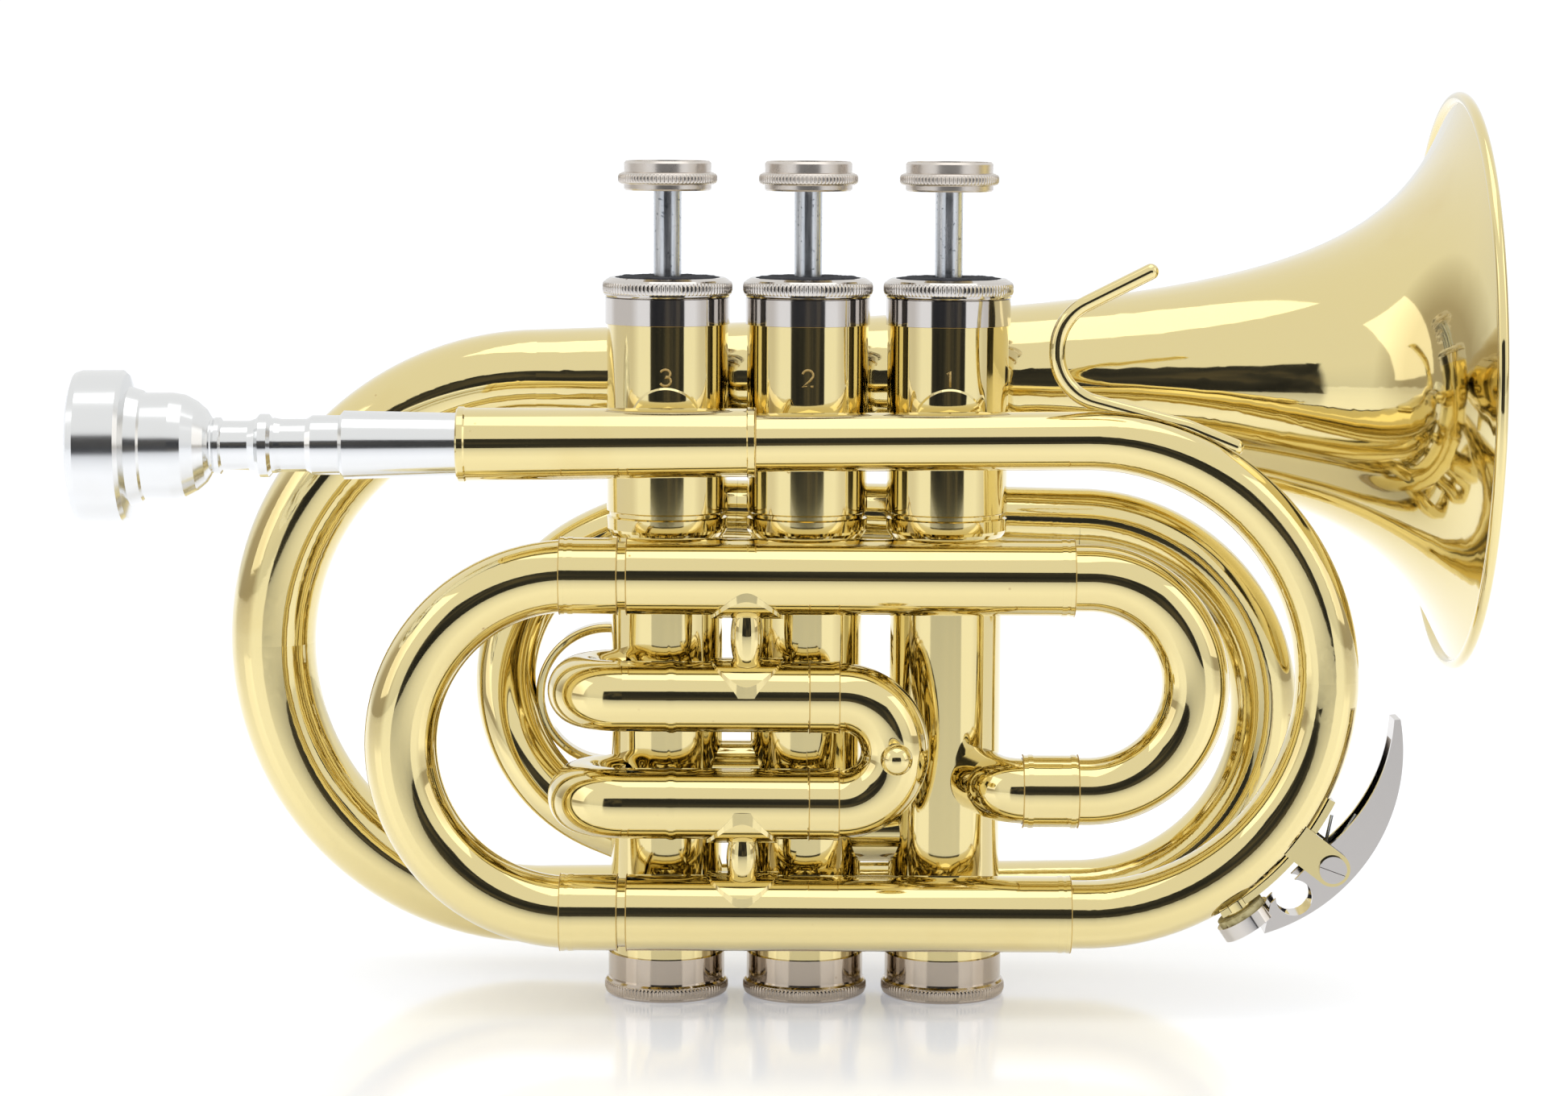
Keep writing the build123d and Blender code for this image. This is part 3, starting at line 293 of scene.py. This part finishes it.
for part in frame["record"]["subparts"]:
    look = SLOT_MATERIALS[part["material_slot"]]
    if part["node"] in BRIGHT_NODES:
        look = BRIGHT_NICKEL
    if part["node"] in SATIN_NODES:
        look = SATIN_NICKEL
    mesh = NODES[part["node"]].data
    mesh.materials.clear()
    mesh.materials.append(look)


# ---------------------------------------------------------------- mesh helpers
def piece(name, mesh_builder, material, body):
    """Turn a finished bmesh into a piece that rides on a body."""
    mesh = bpy.data.meshes.new(name)
    bmesh.ops.recalc_face_normals(mesh_builder, faces=mesh_builder.faces)
    mesh_builder.to_mesh(mesh)
    mesh_builder.free()
    mesh.shade_smooth()
    mesh.materials.append(material)
    obj = bpy.data.objects.new(name, mesh)
    bpy.context.scene.collection.objects.link(obj)
    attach(obj, body)
    return obj


def turned_ring(builder, centre, profile, steps, ripple=None):
    """Closed ring about a vertical axis; profile holds (radius, height) corners in mm.

    ripple(corner, angle) gives a radius to add, for knurling.
    """
    rows = []
    for step in range(steps):
        angle = 2 * math.pi * step / steps
        row = []
        for corner, (radius, height) in enumerate(profile):
            r = radius + (ripple(corner, angle) if ripple else 0.0)
            spot = (centre[0] + r * math.cos(angle), centre[1] + r * math.sin(angle), height)
            row.append(builder.verts.new(Vector(spot) * MM))
        rows.append(row)
    count = len(profile)
    for step in range(steps):
        here, after = rows[step], rows[(step + 1) % steps]
        for corner in range(count):
            next_corner = (corner + 1) % count
            builder.faces.new((here[corner], after[corner], after[next_corner], here[next_corner]))


def knurled_band(name, x, body, radius, z0, z1, teeth, depth, material):
    """Band of fine ridges, like the edge of a coin, rounded over at both rims."""
    crown = [(-0.25, 0.0), (0.0, 0.0), (depth * 0.6, 0.12), (depth, 0.30), (depth, 0.70),
             (depth * 0.6, 0.88), (0.0, 1.0), (-0.25, 1.0)]
    profile = [(radius + out, z0 + share * (z1 - z0)) for out, share in crown]

    def ridge(corner, angle):
        if corner in (0, len(crown) - 1):
            return 0.0
        return -depth * 0.75 * (0.5 + 0.5 * math.cos(angle * teeth)) * (crown[corner][0] / depth)

    builder = bmesh.new()
    turned_ring(builder, (x, 0.0), profile, teeth * SAMPLES_PER_TOOTH, ridge)
    piece(name, builder, material, body)


# ---------------------------------------------------------------- knurled rims
SAMPLES_PER_TOOTH = 6
CAP_TEETH = 96
BUTTON_TEETH = 78
TOP_KNURL_R = 11.30
BOTTOM_KNURL_R = 10.90
BUTTON_KNURL_R = 8.50
for number, x in VALVES.items():
    cap_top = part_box(f"top_cap_{number}")[1].z / MM
    knurled_band(f"top_cap_knurl_{number}", x, "root", TOP_KNURL_R, cap_top - 2.9, cap_top - 0.7,
                 CAP_TEETH, 0.28, BRIGHT_NICKEL)
    knurled_band(f"bottom_cap_knurl_{number}", x, "root", BOTTOM_KNURL_R, 0.45, 2.45,
                 CAP_TEETH, 0.26, NICKEL)
    button_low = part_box(f"finger_button_{number}")[0].z / MM
    knurled_band(f"button_knurl_{number}", x, f"valve_{number}", BUTTON_KNURL_R, button_low + 1.25,
                 button_low + 2.95, BUTTON_TEETH, 0.30, SATIN_NICKEL)

# ---------------------------------------------------------------- seams where tubes slip together
SEAM_R = 0.10
SEAM_INSET = 0.12


def seam_ring(name, centre, axis, radius, body):
    """Hairline of dull solder round the end of a sleeve."""
    builder = bmesh.new()
    profile = [(radius + SEAM_R * math.cos(a), SEAM_R * math.sin(a))
               for a in (2 * math.pi * i / 8 for i in range(8))]
    turned_ring(builder, (0.0, 0.0), profile, 96)
    turn = Vector((0.0, 0.0, 1.0)).rotation_difference(Vector(axis)).to_matrix().to_4x4()
    builder.transform(Matrix.Translation(Vector(centre) * MM) @ turn)
    piece(name, builder, SEAM, body)


SLEEVED_TUBES = {                               # node: (body, stacked tubes, ends that show a seam)
    "main_tubes": ("root", 2, (0, 1)),
    "tuning_slide_ferrules": ("tuning_slide_body", 2, (0, 1)),
    "front_slide_ferrules": ("front_slide_body", 2, (0, 1)),
    "d_bend_ferrule": ("root", 1, (0, 1)),
    "mouthpiece_receiver": ("root", 1, (1,)),
}
for node, (body, stacked, ends) in SLEEVED_TUBES.items():
    low, high = (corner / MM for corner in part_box(node))
    radius = (high.y - low.y) / 2
    for level, z in enumerate((low.z + radius, high.z - radius)[:stacked]):
        for end in ends:
            inset = SEAM_INSET if end == 0 else -SEAM_INSET
            seam_ring(f"{node}_seam_{level}{end}", ((low.x, high.x)[end] + inset, low.y + radius, z),
                      (1.0, 0.0, 0.0), radius - 0.05, body)

sleeve_low, sleeve_high = (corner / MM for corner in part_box("casing_sleeves"))
for number, x in VALVES.items():
    seam_ring(f"casing_sleeve_seam_{number}", (x, 0.0, sleeve_low.z + 0.05), (0.0, 0.0, 1.0),
              sleeve_high.y - 0.10, "root")


# ---------------------------------------------------------------- felts on the top caps
FELT_HOLE_R = 2.75
FELT_ROWS = 26
FELT_STEPS = 220


def felt_washer(number, x):
    """Matted felt disc with a lumpy top and a frayed edge, under the finger button."""
    low, high = (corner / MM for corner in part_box("cap_felts"))
    rim = high.y - 0.22
    thick = high.z - low.z - 0.30
    builder = bmesh.new()
    grid = []
    for step in range(FELT_STEPS):
        angle = 2 * math.pi * step / FELT_STEPS
        around = Vector((math.cos(angle), math.sin(angle), 0.0))
        row = []
        for i in range(FELT_ROWS + 1):
            share = i / FELT_ROWS
            r = FELT_HOLE_R + (rim - FELT_HOLE_R) * share
            spot = around * r
            lump = noise.noise(Vector((spot.x * 0.45 + x, spot.y * 0.45, 1.0)))
            tuft = noise.noise(Vector((spot.x * 3.1 + x, spot.y * 3.1, 5.0)))
            fray = 0.13 * noise.noise(Vector((spot.x * 4.0, spot.y * 4.0 + x, 9.0)))
            edge = 1.0 - max(0.0, (share - 0.90) / 0.10) ** 2 * 0.55
            height = low.z + thick * edge + 0.14 * lump + 0.10 * tuft
            if share == 1.0:
                spot = around * (r + fray)
            row.append(builder.verts.new(Vector((x + spot.x, spot.y, height)) * MM))
        for r, height in ((rim, low.z + 0.02), (FELT_HOLE_R, low.z + 0.02)):
            row.append(builder.verts.new(Vector((x + around.x * r, around.y * r, height)) * MM))
        grid.append(row)
    for step in range(FELT_STEPS):
        here, after = grid[step], grid[(step + 1) % FELT_STEPS]
        for i in range(len(here)):
            j = (i + 1) % len(here)
            builder.faces.new((here[i], after[i], after[j], here[j]))
    obj = piece(f"felt_washer_{number}", builder, FELT, "root")
    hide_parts("cap_felts")


for number, x in VALVES.items():
    felt_washer(number, x)

# ---------------------------------------------------------------- stamped valve numbers
FIGURES = {
    "1": [[(-0.55, 0.85), (0.0, 1.35), (0.0, -1.45)]],
    "2": [[(-0.95, 0.75)] + [(0.95 * math.cos(a), 0.55 + 0.9 * math.sin(a))
                             for a in (math.pi - i * math.pi / 9 for i in range(1, 11))]
          + [(0.35, -0.45), (-0.95, -1.45), (1.0, -1.45)]],
    "3": [[(0.9 * math.cos(a) - 0.05, 0.70 + 0.75 * math.sin(a))
           for a in (math.radians(160 - i * 25) for i in range(11))]
          + [(1.0 * math.cos(a) - 0.05, -0.60 + 0.85 * math.sin(a))
             for a in (math.radians(80 - i * 26) for i in range(10))]],
}
FIGURE_Z = 112.0
FIGURE_WIDTH = 0.20
FIGURE_LIFT = 0.012
FIGURE_THICKNESS = 0.02
CASING_R = 10.8


def stamp_figure(number, x):
    """A number wrapped on the front of a casing, as thin strokes."""
    builder = bmesh.new()
    for stroke in FIGURES[number]:
        edges = []
        for i, (u, v) in enumerate(stroke):
            before = Vector(stroke[max(i - 1, 0)])
            after = Vector(stroke[min(i + 1, len(stroke) - 1)])
            along = (after - before).normalized()
            side = Vector((-along.y, along.x)) * FIGURE_WIDTH
            pair = []
            for sign in (1, -1):
                across = u + side.x * sign
                height = v + side.y * sign
                angle = across / CASING_R
                spot = Vector((x + (CASING_R + FIGURE_LIFT) * math.sin(angle),
                               -(CASING_R + FIGURE_LIFT) * math.cos(angle), FIGURE_Z + height))
                pair.append(builder.verts.new(spot * MM))
            edges.append(pair)
        for first, second in zip(edges, edges[1:]):
            builder.faces.new((first[0], first[1], second[1], second[0]))
    # The figure's dark colour is partly painted shade of the stamped groove, which has no depth here.
    figure = piece(f"figure_{number}", builder, STAMPED_MATT_AND_SHADE, "root")
    thick = figure.modifiers.new("thickness", "SOLIDIFY")
    thick.thickness = FIGURE_THICKNESS * MM
    thick.offset = 0.0


for number, x in VALVES.items():
    stamp_figure(number, x)

# ---------------------------------------------------------------- floor, light, camera
CENTRE = Vector((-4.06, 0.0, 80.8)) * MM
TENT_STRENGTH = 0.96
BACKDROP_STRENGTH = 1.05
LENS = 92.5
DISTANCE = 0.722
PITCH = math.radians(6.5)
ROLL = math.radians(0.27)


def studio_floor():
    """Glossy white table top, level with the bottom caps."""
    made = Shader("white_acrylic")
    made.set(Specular_IOR_Level=0.5, Coat_Weight=0.25, Coat_Roughness=0.08,
             Emission_Color=(0.21, 0.225, 0.265, 1.0), Emission_Strength=1.0)
    cloud = made.noise(6.0, 2.0)
    color = made.ramp(cloud, (0.3, (0.955, 0.957, 0.96)), (0.7, (0.97, 0.97, 0.97)))
    roughness = made.remap(cloud, 0.3, 0.7, 0.10, 0.13)
    made.surface(color, roughness)
    builder = bmesh.new()
    bmesh.ops.create_grid(builder, x_segments=2, y_segments=2, size=6.0)
    mesh = bpy.data.meshes.new("studio_floor")
    builder.to_mesh(mesh)
    builder.free()
    mesh.materials.append(made.material)
    obj = bpy.data.objects.new("studio_floor", mesh)
    obj.location.z = -0.00002
    bpy.context.scene.collection.objects.link(obj)


def tent_opening(width, height, distance):
    """The dark opening of the light tent, which the camera looks through: seen only in reflections."""
    made = Shader("tent_opening")
    made.set(Base_Color=(0.01, 0.01, 0.01, 1.0), Roughness=1.0, Specular_IOR_Level=0.0,
             Emission_Strength=1.0)
    room = made.noise(3.2, 2.0, 0.5, made.stretched((1.6, 0.8, 1.0)))
    made.link(made.ramp(room, (0.38, (0.012, 0.013, 0.017)), (0.54, (0.032, 0.032, 0.034)),
                        (0.66, (0.080, 0.070, 0.055))), made.principled.inputs["Emission Color"])
    middle = made.node("ShaderNodeVectorMath", operation="ABSOLUTE")
    made.link(made.coords, middle.inputs[0])
    sides = made.node("ShaderNodeSeparateXYZ")
    made.link(middle.outputs["Vector"], sides.inputs[0])
    soft_x = made.remap(sides.outputs["X"], 0.465, 0.5, 1.0, 0.0)
    soft_y = made.remap(sides.outputs["Y"], 0.475, 0.5, 1.0, 0.0)
    made.link(made.multiply(soft_x, soft_y), made.principled.inputs["Alpha"])
    builder = bmesh.new()
    bmesh.ops.create_grid(builder, x_segments=1, y_segments=1, size=0.5)
    mesh = bpy.data.meshes.new("tent_opening")
    builder.to_mesh(mesh)
    builder.free()
    mesh.materials.append(made.material)
    obj = bpy.data.objects.new("tent_opening", mesh)
    obj.scale = (width, height, 1.0)
    obj.rotation_euler = (math.radians(90), 0.0, 0.0)
    obj.location = (CENTRE.x, -distance, 0.14)
    bpy.context.scene.collection.objects.link(obj)
    obj.visible_camera = False
    obj.visible_diffuse = False
    obj.visible_shadow = False


def add_ramp(tree, value, low, high):
    """Colour ramp between two (position, colour) stops."""
    ramp = tree.nodes.new("ShaderNodeValToRGB")
    for element, (position, color) in zip(ramp.color_ramp.elements, (low, high)):
        element.position = position
        element.color = (*color, 1.0)
    tree.links.new(value, ramp.inputs["Fac"])
    return ramp.outputs["Color"]


def white_tent():
    """White tent: walls of soft even cloth round the object, on a pure white backdrop."""
    world = bpy.data.worlds.new("white_tent")
    bpy.context.scene.world = world
    world.use_nodes = True
    tree = world.node_tree
    output = tree.nodes["World Output"]
    cloth = tree.nodes["Background"]
    coords = tree.nodes.new("ShaderNodeTexCoord")
    split = tree.nodes.new("ShaderNodeSeparateXYZ")
    height = tree.nodes.new("ShaderNodeMapRange")
    height.inputs["From Min"].default_value = -1.0
    tree.links.new(coords.outputs["Generated"], split.inputs[0])
    tree.links.new(split.outputs["Z"], height.inputs["Value"])
    upward = add_ramp(tree, height.outputs["Result"], (0.42, (0.80, 0.82, 0.84)), (0.62, (0.98, 0.98, 0.97)))
    sideways = tree.nodes.new("ShaderNodeMath")
    sideways.operation = "ABSOLUTE"
    tree.links.new(split.outputs["X"], sideways.inputs[0])
    walls = add_ramp(tree, sideways.outputs["Value"], (0.80, (1.0, 1.0, 1.0)), (0.93, (0.52, 0.47, 0.40)))
    shaded = tree.nodes.new("ShaderNodeMix")
    shaded.data_type = "RGBA"
    shaded.blend_type = "MULTIPLY"
    shaded.inputs["Factor"].default_value = 1.0
    tree.links.new(upward, shaded.inputs["A"])
    tree.links.new(walls, shaded.inputs["B"])
    tree.links.new(shaded.outputs["Result"], cloth.inputs["Color"])
    cloth.inputs["Strength"].default_value = TENT_STRENGTH
    backdrop = tree.nodes.new("ShaderNodeBackground")
    backdrop.inputs["Color"].default_value = (1.0, 1.0, 1.0, 1.0)
    backdrop.inputs["Strength"].default_value = BACKDROP_STRENGTH
    rays = tree.nodes.new("ShaderNodeLightPath")
    chosen = tree.nodes.new("ShaderNodeMixShader")
    tree.links.new(rays.outputs["Is Camera Ray"], chosen.inputs["Fac"])
    tree.links.new(cloth.outputs[0], chosen.inputs[1])
    tree.links.new(backdrop.outputs[0], chosen.inputs[2])
    tree.links.new(chosen.outputs[0], output.inputs["Surface"])


def soft_light(name, location, size, power):
    data = bpy.data.lights.new(name, "AREA")
    data.shape = "RECTANGLE"
    data.size = size[0]
    data.size_y = size[1]
    data.energy = power
    obj = bpy.data.objects.new(name, data)
    obj.location = location
    obj.rotation_euler = (CENTRE - Vector(location)).to_track_quat("-Z", "Y").to_euler()
    bpy.context.scene.collection.objects.link(obj)
    obj.visible_camera = False


studio_floor()
tent_opening(1.0, 0.53, 0.78)
white_tent()
soft_light("top_softbox", (0.1, -0.1, 1.3), (1.0, 0.8), 1.9)
soft_light("left_softbox", (-1.2, -0.35, 0.6), (0.6, 0.9), 1.2)
soft_light("right_softbox", (1.2, -0.35, 0.6), (0.6, 0.9), 1.2)

camera_data = bpy.data.cameras.new("photo_camera")
camera_data.sensor_width = 36.0
camera_data.lens = LENS
camera_data.clip_start = 0.01
camera_data.clip_end = 50.0
camera = bpy.data.objects.new("photo_camera", camera_data)
camera.location = CENTRE + Vector((0.0, -math.cos(PITCH), math.sin(PITCH))) * DISTANCE
look = (CENTRE - camera.location).to_track_quat("-Z", "Y").to_matrix()
camera.rotation_euler = (look @ Matrix.Rotation(ROLL, 3, "Z")).to_euler()
bpy.context.scene.collection.objects.link(camera)
bpy.context.scene.camera = camera
bpy.context.scene.view_settings.view_transform = "Standard"
